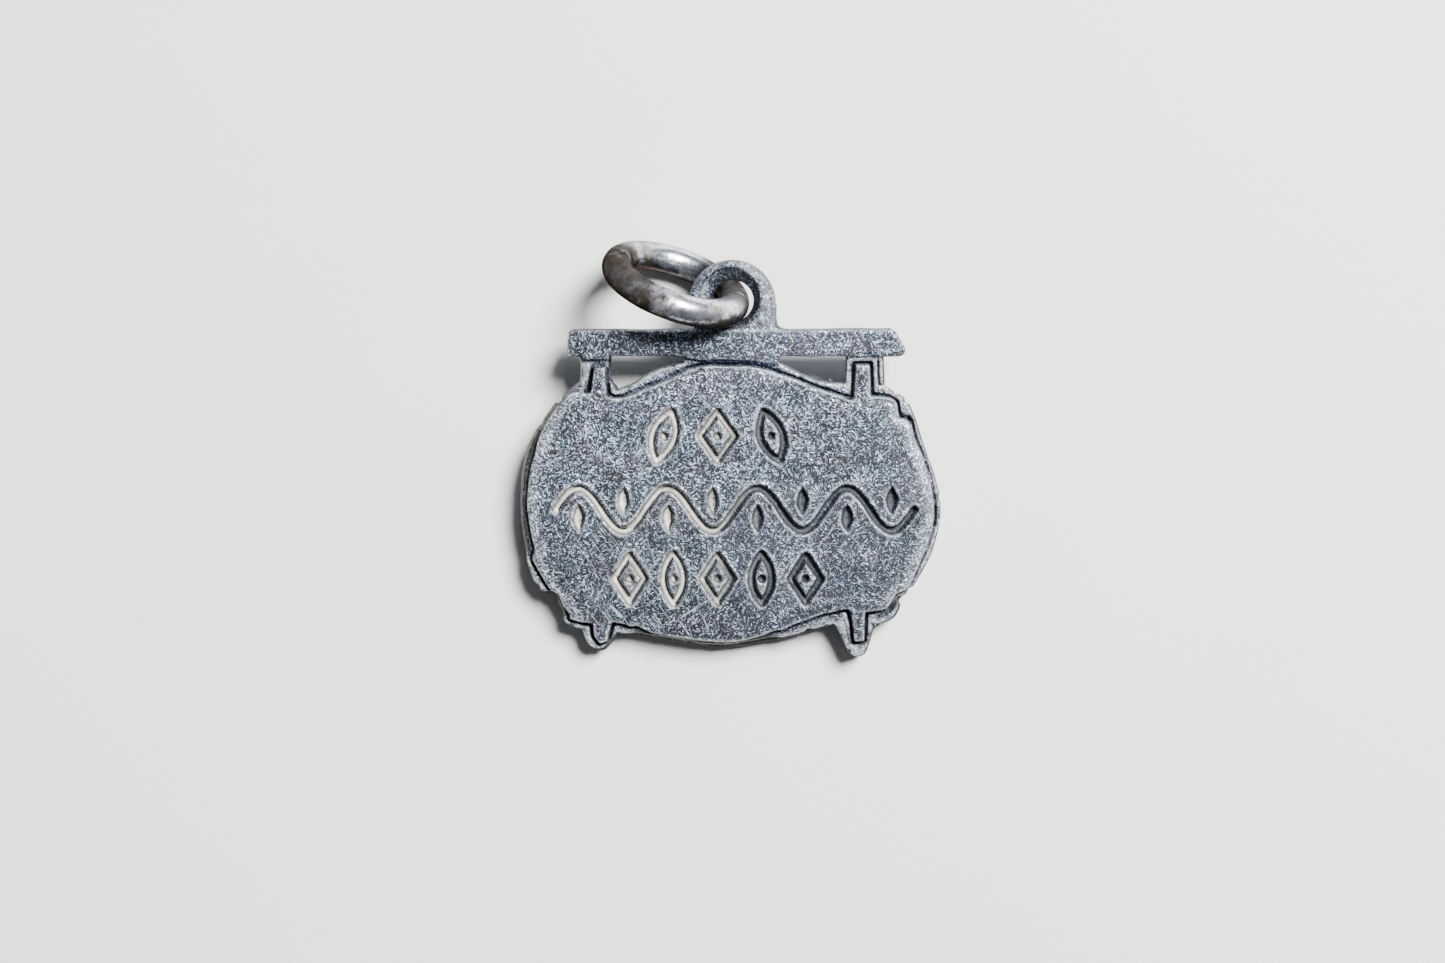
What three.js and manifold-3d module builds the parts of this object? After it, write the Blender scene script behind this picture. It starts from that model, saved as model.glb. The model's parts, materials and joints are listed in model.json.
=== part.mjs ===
// Souvenir charm lying face up on a table, with a jump ring through its eye.
// Millimetres, +Z up. Two pieces: the one-piece charm and the loose ring.
import * as THREE from 'three';
import { mergeVertices } from 'three/addons/utils/BufferGeometryUtils.js';
import Module from 'manifold-3d';

const wasm = await Module();
wasm.setup();

// ---- driving dimensions -------------------------------------------------
const BACK = 0;              // back face of the board
const FRONT = 2.0;           // front face of the board
const EDGE = 0.12;           // worn edge on the raised faces

const RIM_BACK = 0.4;        // the rim round the raised faces stands lower
const RIM_FRONT = 1.6;
const RIM_EDGE = 0.16;       // worn edge on the rim

const BAR_BACK = 0.2;
const BAR_FRONT = 1.94;

const EYE_BACK = 0.3;
const EYE_FRONT = 1.9;
const EYE_R = 2.27;          // outside of the eye
const EYE_AT = [0.12, 10.49];
const WAIST_LOW = 0.78;      // the hole is narrowest between these heights
const WAIST_HIGH = 1.2;
const HOLE_R = 1.05;         // the hole at its narrow waist
const HOLE_AT = [0.17, 10.64];
const FLARE_R = 1.5;         // hole at the front and back faces
const FLARE_AT = [0.01, 10.86];
const NECK = [-1.95, 2.4];   // left and right side of the eye's neck

const GROOVE_W = 0.42;       // incised ornament
const GROOVE_D = 0.25;

const WIRE_R = 0.757;        // jump ring
const RING_R = 3.18;         // centre of the ring to the middle of the wire
const RING_AT = [-2.75, 11.49];
const RING_TURN = -20.8;     // long axis of the leaning ring in plan, degrees
const RING_LEAN = 24.6;      // lean of the ring from upright, degrees
const SEAM_AT = -4;          // angle of the cut in the wire, round the ring
const SEAM_GAP = 0.05;

const TILT = 6.25;           // the charm leans on the ring's wire, degrees
const HEEL = -7.2;           // the back face's lower edge, which stays on the table

// ---- helpers ------------------------------------------------------------
const rad = THREE.MathUtils.degToRad;

function clean(geometry) {
  geometry.deleteAttribute('normal');
  geometry.deleteAttribute('uv');
  return mergeVertices(geometry, 1e-5);
}

function toManifold(geometry) {
  const g = clean(geometry);
  return new wasm.Manifold(new wasm.Mesh({
    numProp: 3,
    vertProperties: new Float32Array(g.attributes.position.array),
    triVerts: new Uint32Array(g.index.array),
  }));
}

function toGeometry(solid) {
  const m = solid.getMesh();
  const g = new THREE.BufferGeometry();
  g.setAttribute('position', new THREE.BufferAttribute(new Float32Array(m.vertProperties), 3));
  g.setIndex(new THREE.BufferAttribute(new Uint32Array(m.triVerts), 1));
  g.computeVertexNormals();
  return g;
}

// A closed outline from straight runs and smooth runs. Each run is a list of
// points: two or more make a smooth curve on from the last point, one a line.
function outline(start, ...runs) {
  const s = new THREE.Shape();
  s.moveTo(start[0], start[1]);
  for (const run of runs) {
    if (run.length === 1) {
      s.lineTo(run[0][0], run[0][1]);
    } else {
      s.splineThru(run.map(([x, y]) => new THREE.Vector2(x, y)));
    }
  }
  s.closePath();
  return s;
}

// A plate from z0 to z1 with its upper and lower edges worn off.
function plate(shape, z0, z1, worn, curveSegments = 3) {
  const g = new THREE.ExtrudeGeometry(shape, {
    depth: z1 - z0 - 2 * worn,
    bevelEnabled: worn > 0,
    bevelThickness: worn,
    bevelSize: worn,
    bevelOffset: -worn,
    bevelSegments: 1,
    curveSegments,
  });
  g.translate(0, 0, z0 + worn);
  return toManifold(g);
}

function circle([x, y], r) {
  const s = new THREE.Shape();
  s.absarc(x, y, r, 0, 2 * Math.PI, false);
  return s;
}

function unite(solids) {
  return solids.reduce((sum, solid) => sum.add(solid));
}

// ---- the rim: the charm's full silhouette -------------------------------
const boardEdge = outline([-7.95, 6.5],
  [[-9.2, 5.3], [-10.6, 3.05], [-11.0, 0.2], [-10.75, -2.1], [-10.24, -3.95]],
  [[-9.95, -4.6]],
  [[-9.5, -4.7]],
  [[-8.9, -5.45], [-8.5, -6.2], [-7.7, -6.5]],
  [[-5.3, -6.75]],
  [[-3.4, -7.1], [-0.35, -7.5], [2.9, -6.95], [5.4, -6.2]],
  [[7.5, -6.3]],
  [[8.4, -5.95], [8.8, -5.45], [9.02, -4.7]],
  [[9.5, -4.3]],
  [[10.5, -2.45], [10.98, -0.2], [10.6, 1.7], [9.86, 3.85]],
  [[9.5, 4.9], [8.95, 5.75], [7.97, 6.35]],
  [[5.7, 6.45]],
  [[4.6, 6.6], [3.6, 7.05], [2.55, 7.64]],
  [[2.55, 8.2]],
  [[-2.4, 8.2]],
  [[-2.4, 7.52]],
  [[-3.9, 7.1], [-4.9, 6.45], [-5.82, 6.09]]);

const leftPost = outline([-7.66, 8.4], [[-7.8, 6.6]], [[-8.3, 6.0]], [[-5.6, 5.8]], [[-6.19, 6.75]], [[-6.24, 8.4]]);
const rightPost = outline([6.02, 8.4], [[5.9, 6.4]], [[5.5, 5.8]], [[8.5, 5.8]], [[7.97, 6.4]], [[7.92, 8.4]]);
const leftFoot = outline([-7.8, -6.1],
  [[-7.56, -7.0]],
  [[-7.35, -7.35], [-6.9, -7.55], [-6.5, -7.5], [-6.15, -7.15]],
  [[-5.4, -6.3]]);
const rightFoot = outline([5.3, -5.9],
  [[6.15, -7.55]],
  [[6.4, -7.84], [6.71, -7.9], [7.0, -7.82], [7.2, -7.5]],
  [[7.7, -5.9]]);

// ---- the raised faces ---------------------------------------------------
const faceEdge = outline([-7.4, 6.1],
  [[-8.2, 6.1], [-9.1, 5.4], [-10.4, 3.1], [-10.88, 0.3], [-10.6, -2.3], [-9.6, -4.4]],
  [[-8.85, -5.25]],
  [[-8.3, -5.9]],
  [[-7.2, -6.2], [-6.0, -6.25]],
  [[-3.7, -6.85], [-0.35, -7.28], [2.9, -6.65], [5.2, -5.85]],
  [[7.4, -5.8]],
  [[8.25, -5.65], [8.65, -5.2], [8.8, -4.6]],
  [[9.35, -4.2]],
  [[10.3, -2.0], [10.55, -0.3], [10.2, 2.1], [9.45, 4.4]],
  [[8.8, 4.85]],
  [[8.65, 5.5], [8.2, 5.8], [7.3, 5.85]],
  [[6.2, 5.75]],
  [[4.7, 6.4], [2.6, 7.1], [0.05, 7.42], [-2.6, 7.1], [-4.7, 6.2], [-6.5, 5.85]]);

const tongues = [
  outline([-7.22, 8.0], [[-7.42, 5.6]], [[-6.44, 5.6]], [[-6.62, 8.0]]),
  outline([6.45, 8.0], [[6.3, 5.4]], [[7.4, 5.4]], [[7.24, 8.0]]),
  outline([-7.3, -5.9], [[-7.12, -6.85]], [[-6.8, -7.12]], [[-6.4, -6.9]], [[-6.12, -5.9]]),
  outline([6.1, -5.4], [[6.4, -7.25]], [[6.95, -7.25]], [[7.25, -5.4]]),
];

const bar = outline([-8.2, 9.22],
  [[-8.38, 9.04]],
  [[-8.38, 7.94]],
  [[-8.22, 7.76]],
  [[8.68, 7.76]],
  [[9.0, 7.92], [9.06, 8.24]],
  [[8.56, 9.06]],
  [[8.24, 9.26]]);

// ---- the eye, with a hole that narrows to a waist -----------------------
const neck = outline([NECK[0], 9.0],
  [[NECK[1] + 0.45, 9.0]],
  [[NECK[1] + 0.12, 9.4]],
  [[NECK[1], 9.9]],
  [[NECK[1] - 0.02, 10.4]],
  [[NECK[0], 10.4]]);

// A round cutter whose sections need not share one centre.
function funnel(sections, sides = 40) {
  const g = new THREE.CylinderGeometry(1, 1, 1, sides, sections.length - 1);
  g.rotateX(Math.PI / 2);
  const p = g.attributes.position;
  for (let i = 0; i < p.count; i += 1) {
    const level = Math.round((p.getZ(i) + 0.5) * (sections.length - 1));
    const { at, r, z } = sections[level];
    p.setXYZ(i, at[0] + p.getX(i) * r, at[1] + p.getY(i) * r, z);
  }
  return toManifold(g);
}

const hole = funnel([
  { at: FLARE_AT, r: FLARE_R, z: EYE_BACK - 0.5 },
  { at: FLARE_AT, r: FLARE_R, z: EYE_BACK + 0.1 },
  { at: HOLE_AT, r: HOLE_R, z: WAIST_LOW },
  { at: HOLE_AT, r: HOLE_R, z: WAIST_HIGH },
  { at: FLARE_AT, r: FLARE_R, z: EYE_FRONT - 0.1 },
  { at: FLARE_AT, r: FLARE_R, z: FRONT + 0.5 },
]);

// ---- incised ornament: lozenges, leaves and a running vine --------------
function lozenge(x, y, halfW, halfH, w) {
  const ring = (grow) => {
    const p = new THREE.Path();
    const k = 1 + grow / Math.hypot(halfW, halfH) * 1.3;
    p.moveTo(x + halfW * k, y);
    p.lineTo(x, y + halfH * k);
    p.lineTo(x - halfW * k, y);
    p.lineTo(x, y - halfH * k);
    p.closePath();
    return p;
  };
  const shape = new THREE.Shape(ring(w / 2).getPoints());
  shape.holes.push(ring(-w / 2));
  return shape;
}

// A pointed leaf's outline, grown outwards from its middle line.
function leafPath(x, y, halfL, halfW, angle, grow) {
  const turn = (u, v) => [
    x + u * Math.cos(angle) - v * Math.sin(angle),
    y + u * Math.sin(angle) + v * Math.cos(angle)];
  const l = halfL + grow * 1.6;
  const b = 2 * (halfW + grow);
  const p = new THREE.Path();
  p.moveTo(...turn(-l, 0));
  p.quadraticCurveTo(...turn(0, -b), ...turn(l, 0));
  p.quadraticCurveTo(...turn(0, b), ...turn(-l, 0));
  return p.getPoints(6);
}

function leafOutline(x, y, halfL, halfW, angle, w) {
  const shape = new THREE.Shape(leafPath(x, y, halfL, halfW, angle, w / 2));
  shape.holes.push(new THREE.Path(leafPath(x, y, halfL, halfW, angle, -w / 2)));
  return shape;
}

function leafSolid(x, y, halfL, halfW, angle) {
  return new THREE.Shape(leafPath(x, y, halfL, halfW, angle, 0));
}

// A band of constant width along the wave y0 + a sin(k (x - x0)).
function vine(x0, x1, y0, a, k, w, steps = 48) {
  const upper = [];
  const lower = [];
  for (let i = 0; i <= steps; i += 1) {
    const x = x0 + (x1 - x0) * i / steps;
    const y = y0 + a * Math.sin(k * (x - x0));
    const slope = a * k * Math.cos(k * (x - x0));
    const n = Math.hypot(1, slope);
    upper.push(new THREE.Vector2(x - slope / n * w / 2, y + w / 2 / n));
    lower.push(new THREE.Vector2(x + slope / n * w / 2, y - w / 2 / n));
  }
  return new THREE.Shape([...lower, ...upper.reverse()]);
}

const TOP_Y = 3.75;          // the three rows of ornament
const MID_Y = -0.05;
const LOW_Y = -3.65;
const VINE_X0 = -8.9;
const VINE_PITCH = 2.3;      // one leaf in each bend of the vine
const VINE_BENDS = 8;
const VINE_RISE = 1.1;
const PELLET_R = 0.21;

const grooves = [];

function addLozenge(x, y, halfW, halfH) {
  grooves.push(lozenge(x, y, halfW, halfH, GROOVE_W), circle([x, y], PELLET_R));
}

function addLeaf(x, y, halfL, halfW, degrees) {
  grooves.push(leafOutline(x, y, halfL, halfW, rad(degrees), GROOVE_W), circle([x, y], PELLET_R));
}

addLeaf(-3.35, TOP_Y, 1.32, 0.58, 72);
addLozenge(-0.6, TOP_Y, 0.88, 1.25);
addLeaf(2.15, TOP_Y, 1.32, 0.58, 108);

const vineEnd = VINE_X0 + VINE_PITCH * VINE_BENDS;
grooves.push(vine(VINE_X0, vineEnd, MID_Y, VINE_RISE, Math.PI / VINE_PITCH, GROOVE_W));
for (let i = 0; i < VINE_BENDS; i += 1) {
  const side = i % 2 === 0 ? 1 : -1;
  grooves.push(leafSolid(VINE_X0 + VINE_PITCH * (i + 0.5), MID_Y - side * 0.45, 0.72, 0.3, rad(90)));
}

for (let i = 0; i < 5; i += 1) {
  const x = -5.15 + 2.27 * i;
  if (i % 2 === 0) {
    addLozenge(x, LOW_Y, 0.78, 1.2);
  } else {
    addLeaf(x, LOW_Y, 1.28, 0.52, 90);
  }
}

// ---- assembling the charm ----------------------------------------------
function charmSolid() {
  const rim = [boardEdge, leftPost, rightPost, leftFoot, rightFoot]
    .map((s) => plate(s, RIM_BACK, RIM_FRONT, RIM_EDGE));
  const front = [faceEdge, ...tongues].map((s) => plate(s, 1.0, FRONT, EDGE));
  const back = [faceEdge, ...tongues].map((s) => plate(s, BACK, 1.0, EDGE));
  const top = [
    plate(bar, BAR_BACK, BAR_FRONT, EDGE),
    plate(circle(EYE_AT, EYE_R), EYE_BACK, EYE_FRONT, EDGE, 20),
    plate(neck, EYE_BACK + 0.02, EYE_FRONT - 0.02, EDGE),
  ];
  let solid = unite([...rim, ...front, ...back, ...top]).subtract(hole);
  for (const g of grooves) {
    solid = solid.subtract(plate(g, FRONT - GROOVE_D, FRONT + 0.5, 0, 5));
  }
  return solid;
}

// ---- the jump ring ------------------------------------------------------
class RingPath extends THREE.Curve {
  getPoint(t, target = new THREE.Vector3()) {
    const gap = SEAM_GAP / RING_R;
    const a = rad(SEAM_AT) + gap / 2 + t * (2 * Math.PI - gap);
    return target.set(RING_R * Math.cos(a), RING_R * Math.sin(a), 0);
  }
}

function ringGeometry() {
  const section = circle([0, 0], WIRE_R);
  return clean(new THREE.ExtrudeGeometry(section, {
    steps: 64,
    curveSegments: 9,
    bevelEnabled: false,
    extrudePath: new RingPath(),
  }));
}

// ---- pieces and frame ---------------------------------------------------
function piece(name, geometry, colour, roughness, metalness) {
  const material = new THREE.MeshStandardMaterial({ color: colour, roughness, metalness });
  const mesh = new THREE.Mesh(geometry, material);
  mesh.name = name;
  return mesh;
}

const charm = piece('charm_body', toGeometry(charmSolid()), 0x85868c, 0.5, 0.9);
const ring = piece('jump_ring', ringGeometry(), 0x97918f, 0.35, 0.95);

// The charm turns up about its lower edge until its eye rests on the ring.
const charmPose = new THREE.Group();
charm.position.y = -HEEL;
charmPose.rotation.x = rad(TILT);
charmPose.position.y = HEEL * Math.cos(rad(TILT)) + FRONT * Math.sin(rad(TILT));
charmPose.add(charm);

// The ring stands on the table, leaning back, with its low side under the eye.
const ringPose = new THREE.Group();
ring.rotation.x = rad(90 + RING_LEAN);
ringPose.rotation.z = rad(RING_TURN);
ringPose.position.set(RING_AT[0], RING_AT[1], RING_R * Math.cos(rad(RING_LEAN)) + WIRE_R);
ringPose.add(ring);

// Origin under the middle of the whole object, on the table.
const part = new THREE.Group();
part.add(charmPose, ringPose);
part.updateMatrixWorld(true);
const box = new THREE.Box3().setFromObject(part, true);
const middle = box.getCenter(new THREE.Vector3());
part.position.set(-middle.x, -middle.y, -box.min.z);

export default part;
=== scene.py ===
import json
import math

import bmesh
import bpy
import numpy as np
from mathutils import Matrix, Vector


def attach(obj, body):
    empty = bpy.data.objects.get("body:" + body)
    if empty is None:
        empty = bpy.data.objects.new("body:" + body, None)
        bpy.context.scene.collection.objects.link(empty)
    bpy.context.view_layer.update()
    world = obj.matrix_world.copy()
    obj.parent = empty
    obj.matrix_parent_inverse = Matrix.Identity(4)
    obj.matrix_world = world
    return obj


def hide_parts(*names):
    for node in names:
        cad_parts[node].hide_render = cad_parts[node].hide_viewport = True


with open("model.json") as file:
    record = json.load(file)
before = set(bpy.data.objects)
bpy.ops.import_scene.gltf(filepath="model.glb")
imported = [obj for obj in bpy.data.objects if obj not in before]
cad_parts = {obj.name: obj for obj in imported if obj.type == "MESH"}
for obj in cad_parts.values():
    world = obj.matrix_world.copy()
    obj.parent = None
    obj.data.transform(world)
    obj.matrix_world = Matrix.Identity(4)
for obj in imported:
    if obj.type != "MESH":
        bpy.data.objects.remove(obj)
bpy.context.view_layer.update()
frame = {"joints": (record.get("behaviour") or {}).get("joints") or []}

MM = 0.001                          # one millimetre in the frame's metres

# ---------------------------------------------------------------- driving sizes
# heights over the board's back face
FRONT = 2.0
PARTING = 1.0                       # where the front and back dies meet
RIM_FRONT = 1.62
RIM_BACK = 0.4
BAR_FRONT = 1.94
BAR_BACK = 0.2
EYE_FRONT = 1.9
EYE_BACK = 0.3

EYE_AT = (0.12, 10.49)
EYE_R = 2.27
HOLE_AT = np.array([0.17, 10.64])   # the hole at its waist, where it is narrowest
HOLE_R = 1.05
WAIST = (0.78, 1.2)
FLARE_AT = np.array([0.01, 10.86])  # the hole at its two mouths
FLARE_R = 1.5
MOUTHS = (0.36, 1.78)

# depths and rises of the relief
MOAT_DEPTH = 0.42                   # the groove between the rim and the raised face
STROKE_DEPTH = 0.33                 # the ornament
STROKE_HALF_W = 0.2
LIP_RISE = 0.05                     # metal pushed up beside a stroke
EDGE_DROP = 0.10                    # the raised face's rounded edge
FLANK_DROP = 0.07                   # the face falls off towards its left and right
DRAFT = 0.16                        # how far the sides draw in per unit of height off the parting

# ---------------------------------------------------------------- frame
# The charm's own frame: x across, y from the feet to the eye, z from the back face to
# the front face. The hinge gives its place and its lean.
HINGE = next(j for j in frame["joints"] if j["name"] == "ring_swing")
HINGE_AT = np.array(HINGE["pos_m"]) / MM
UP = np.array(HINGE["axis"]) / np.linalg.norm(HINGE["axis"])
ACROSS = np.array([1.0, 0.0, 0.0])
ALONG = np.cross(UP, ACROSS)
EYE_MIDDLE = np.array([*HOLE_AT, sum(WAIST) / 2])


def charm_to_row(p):
    """Points of the charm's own frame, in the frame that the part rests in."""
    q = p - EYE_MIDDLE
    return HINGE_AT + q[:, :1] * ACROSS + q[:, 1:2] * ALONG + q[:, 2:] * UP


def row_to_charm(p):
    """The other way round."""
    q = p - HINGE_AT
    return np.stack([q @ ACROSS, q @ ALONG, q @ UP], 1) + EYE_MIDDLE


# ---------------------------------------------------------------- outlines
def outline(start, *runs, per=6):
    """Points of a closed outline: one point is a straight run, more are a curve."""
    pts = [np.array(start, float)]
    for run in runs:
        knots = [pts[-1]] + [np.array(p, float) for p in run]
        if len(knots) == 2:
            pts.append(knots[1])
            continue
        n = len(knots)
        for i in range(n - 1):
            p0 = knots[max(i - 1, 0)]
            p1 = knots[i]
            p2 = knots[i + 1]
            p3 = knots[min(i + 2, n - 1)]
            v1 = (p2 - p0) / 2
            v2 = (p3 - p1) / 2
            for s in range(1, per + 1):
                t = s / per
                pts.append((2 * p1 - 2 * p2 + v1 + v2) * t ** 3
                           + (-3 * p1 + 3 * p2 - 2 * v1 - v2) * t ** 2 + v1 * t + p1)
    return np.array(pts)


BOARD = outline(
    (-7.95, 6.5),
    [(-9.2, 5.3), (-10.6, 3.05), (-11.0, 0.2), (-10.75, -2.1), (-10.24, -3.95)],
    [(-9.95, -4.6)],
    [(-9.5, -4.7)],
    [(-8.9, -5.45), (-8.5, -6.2), (-7.7, -6.5)],
    [(-5.3, -6.75)],
    [(-3.4, -7.1), (-0.35, -7.5), (2.9, -6.95), (5.4, -6.2)],
    [(7.5, -6.3)],
    [(8.4, -5.95), (8.8, -5.45), (9.02, -4.7)],
    [(9.5, -4.3)],
    [(10.5, -2.45), (10.98, -0.2), (10.6, 1.7), (9.86, 3.85)],
    [(9.5, 4.9), (8.95, 5.75), (7.97, 6.35)],
    [(5.7, 6.45)],
    [(4.6, 6.6), (3.6, 7.05), (2.55, 7.64)],
    [(2.55, 8.2)],
    [(-2.4, 8.2)],
    [(-2.4, 7.52)],
    [(-3.9, 7.1), (-4.9, 6.45), (-5.82, 6.09)])
LEFT_POST = outline((-7.66, 8.4), [(-7.8, 6.6)], [(-8.3, 6.0)], [(-5.6, 5.8)],
                    [(-5.82, 6.32), (-5.98, 6.5), (-6.06, 6.8)], [(-6.12, 8.4)])
RIGHT_POST = outline((6.02, 8.4), [(5.9, 6.4)], [(5.5, 5.8)], [(8.5, 5.8)],
                     [(7.97, 6.4)], [(7.92, 8.4)])
LEFT_FOOT = outline((-7.8, -6.1), [(-7.56, -7.0)],
                    [(-7.35, -7.35), (-6.9, -7.55), (-6.5, -7.5), (-6.15, -7.15)],
                    [(-5.4, -6.3)])
RIGHT_FOOT = outline((5.3, -5.9), [(6.15, -7.55)],
                     [(6.4, -7.84), (6.71, -7.9), (7.0, -7.82), (7.2, -7.5)],
                     [(7.7, -5.9)])
FACE = outline(
    (-7.35, 6.02),
    [(-8.2, 6.1), (-9.1, 5.35), (-10.4, 3.1), (-10.86, 0.3), (-10.55, -1.9), (-10.12, -2.9),
     (-9.6, -3.8), (-9.28, -4.3)],
    [(-8.85, -5.2)],
    [(-8.3, -5.8)],
    [(-7.3, -6.02), (-6.2, -5.95), (-5.4, -6.05)],
    [(-3.7, -6.8), (-0.35, -7.22), (1.5, -6.95), (2.5, -6.5), (3.4, -6.05), (4.2, -5.78),
     (5.0, -5.47), (6.15, -5.25)],
    [(7.05, -5.45)],
    [(7.6, -5.38), (8.15, -5.27)],
    [(8.4, -4.92)],
    [(8.62, -4.52)],
    [(9.3, -4.15)],
    [(10.2, -2.0), (10.52, -0.8), (10.53, 0.1), (10.42, 0.9), (10.2, 1.9), (9.95, 2.7),
     (9.55, 3.6), (9.32, 4.5)],
    [(9.12, 4.62)],
    [(8.74, 4.66)],
    [(8.62, 5.1), (8.58, 5.4), (8.4, 5.6), (8.1, 5.74), (7.35, 5.82)],
    [(6.25, 5.62)],
    [(4.75, 6.1), (3.6, 6.57), (2.55, 6.95), (1.3, 7.28), (0.05, 7.34), (-1.4, 7.33),
     (-2.3, 7.05), (-3.0, 6.72), (-4.3, 6.2), (-5.0, 5.87), (-5.7, 5.68), (-6.3, 5.8)])
TONGUES = [
    outline((-6.97, 7.25), [(-7.2, 5.6)], [(-6.28, 5.6)], [(-6.38, 7.25)]),
    outline((6.45, 7.4), [(6.33, 5.4)], [(7.27, 5.4)], [(7.17, 7.4)]),
    outline((-7.16, -5.6), [(-7.05, -6.7)], [(-6.75, -7.1)], [(-6.35, -6.95)], [(-6.02, -5.6)]),
    outline((6.17, -5.1), [(6.48, -6.95)], [(6.98, -6.95)], [(7.05, -5.1)]),
]
# short grooves beside the main ones: (points, half width, depth)
CREASES = [
    ([(7.6, 7.6), (7.62, 6.95), (7.68, 6.38)], 0.045, 0.30),
    ([(7.45, 5.62), (8.1, 5.54), (8.42, 5.4)], 0.05, 0.10),
    ([(7.3, -5.74), (8.15, -5.55)], 0.045, 0.20),
    ([(-2.6, 6.85), (-1.6, 7.12), (-0.4, 7.17), (0.9, 7.14)], 0.06, 0.09),
    ([(5.0, 5.78), (6.0, 5.45)], 0.05, 0.06),
    ([(5.95, -5.9), (6.22, -7.1)], 0.045, 0.16),
    ([(8.72, -4.72), (8.58, -5.0), (8.32, -5.38)], 0.10, 0.42),
    ([(9.2, 4.66), (9.34, 4.5)], 0.11, 0.42),
    ([(10.62, 0.05), (10.63, -0.45), (10.58, -0.9)], 0.075, 0.36),
    ([(2.1, 10.8), (2.14, 10.2), (2.08, 9.75)], 0.045, 0.14),
    ([(-7.08, 7.1), (-7.2, 6.5), (-7.3, 6.0)], 0.075, 0.42),
]
BAR = outline((-7.98, 9.22), [(-8.22, 9.14), (-8.36, 8.92)], [(-8.38, 7.94)], [(-8.22, 7.76)],
              [(8.68, 7.76)], [(9.0, 7.92), (9.06, 8.24)], [(8.56, 9.06)], [(8.24, 9.26)])
COLLAR = outline((-2.3, 8.3), [(-2.32, 7.66)], [(-1.4, 7.56), (0.05, 7.57), (1.3, 7.5)],
                 [(2.5, 7.3)], [(2.66, 8.3)])
POST_CAP = outline((-7.52, 8.3), [(-7.56, 7.6)], [(-6.1, 7.58)], [(-6.1, 8.3)])
NECK = outline((-1.95, 8.6), [(2.85, 8.6)], [(2.85, 9.0)], [(2.52, 9.4)], [(2.4, 9.9)],
               [(2.38, 10.4)], [(-1.95, 10.4)])

# bites out of the rim, and one burr on it: (x, y, radius)
NICKS = [(-10.12, -4.32, 0.22), (-9.35, -4.78, 0.16), (-8.95, 5.62, 0.15), (-9.9, 4.45, 0.12),
         (8.98, -4.92, 0.16), (9.42, -4.4, 0.13), (9.14, 5.56, 0.12), (10.42, 2.62, 0.1),
         (10.98, 0.55, 0.12), (8.62, 5.98, 0.14), (-2.0, -7.42, 0.1), (4.2, -6.62, 0.12)]
BURR = (5.2, 6.5, 0.17)
# two fine lines cut into the bar's front
BAR_SCRATCH = outline((2.35, 8.95), [(2.72, 8.1)], [(3.0, 9.05)])
BAR_CUT = outline((6.5, 7.96), [(7.1, 7.92)], [(7.6, 7.8)])

# single fine scratches on the front: (ends, half width, strength)
SCRATCHES = [
    (((-2.6, -5.75), (-1.55, -5.0)), 0.04, 0.75),
    (((-1.7, -5.1), (-0.7, -4.5)), 0.035, 0.5),
    (((-2.62, -5.8), (-2.05, -6.65)), 0.045, 0.9),
    (((-1.45, -5.5), (-1.1, -6.3)), 0.04, 0.7),
    (((-6.25, -4.95), (-5.5, -5.75)), 0.10, 0.7),
    (((0.75, 5.9), (2.1, 4.5)), 0.035, 0.6),
    (((1.0, 4.7), (2.3, 6.1)), 0.035, 0.6),
    (((-0.6, 6.0), (0.3, 5.2)), 0.03, 0.5),
    (((3.0, 9.0), (3.28, 8.5)), 0.04, 0.8),
    (((2.65, 8.5), (2.95, 8.0)), 0.04, 0.8),
    (((3.25, 8.5), (2.98, 8.15)), 0.03, 0.6),
    (((5.2, 4.9), (6.3, 5.4)), 0.035, 0.5),
    (((7.4, 2.4), (8.5, 3.3)), 0.035, 0.5),
]

# ---------------------------------------------------------------- plan maps
FINE_STEP = 0.052
STEP = FINE_STEP
XS = np.arange(-11.3, 11.3, STEP)
YS = np.arange(-8.25, 12.85, STEP)
ZS = np.arange(-0.12, 2.14, STEP)
GX, GY = np.meshgrid(XS, YS, indexing="ij")


def ease(t):
    return t * t * (3 - 2 * t)


def smoothstep(lo, hi, v):
    """0 at lo and 1 at hi, eased between them. lo may be the larger one."""
    return ease(np.clip((v - lo) / (hi - lo), 0, 1))


def near(d, at, width):
    """1 where d is at one value, falling off on both sides over a width."""
    return np.exp(-((d - at) / width) ** 2)


def from_edge(d, length):
    """1 at the edge of an area and outside it, falling off inward over a length."""
    return np.exp(-np.maximum(-d, 0) / length)


def smooth_max(a, b, k):
    h = np.maximum(k - np.abs(a - b), 0) / k
    return np.maximum(a, b) + h * h * k / 4


def smooth_min(a, b, k):
    return -smooth_max(-a, -b, k)


def shifted(field, dx, dy):
    """The same map moved by dx, dy."""
    return np.roll(field, (round(dx / STEP), round(dy / STEP)), axis=(0, 1))


def round_distance(x, y, r):
    return np.hypot(GX - x, GY - y) - r


def polygon_distance(pts, closed=True):
    """Distance to a polyline, negative inside it when it is closed."""
    best = np.full(GX.shape, 1e9)
    inside = np.zeros(GX.shape, bool)
    n = len(pts)
    for i in range(n if closed else n - 1):
        a = pts[i]
        b = pts[(i + 1) % n]
        e = b - a
        length = max(e @ e, 1e-12)
        wx = GX - a[0]
        wy = GY - a[1]
        t = np.clip((wx * e[0] + wy * e[1]) / length, 0, 1)
        best = np.minimum(best, (wx - t * e[0]) ** 2 + (wy - t * e[1]) ** 2)
        if closed and a[1] != b[1]:
            crosses = (a[1] > GY) != (b[1] > GY)
            inside ^= crosses & (GX < e[0] * (GY - a[1]) / e[1] + a[0])
    d = np.sqrt(best)
    return np.where(inside, -d, d) if closed else d


def line_distance(pts):
    return polygon_distance(np.array(pts), closed=False)


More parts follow.
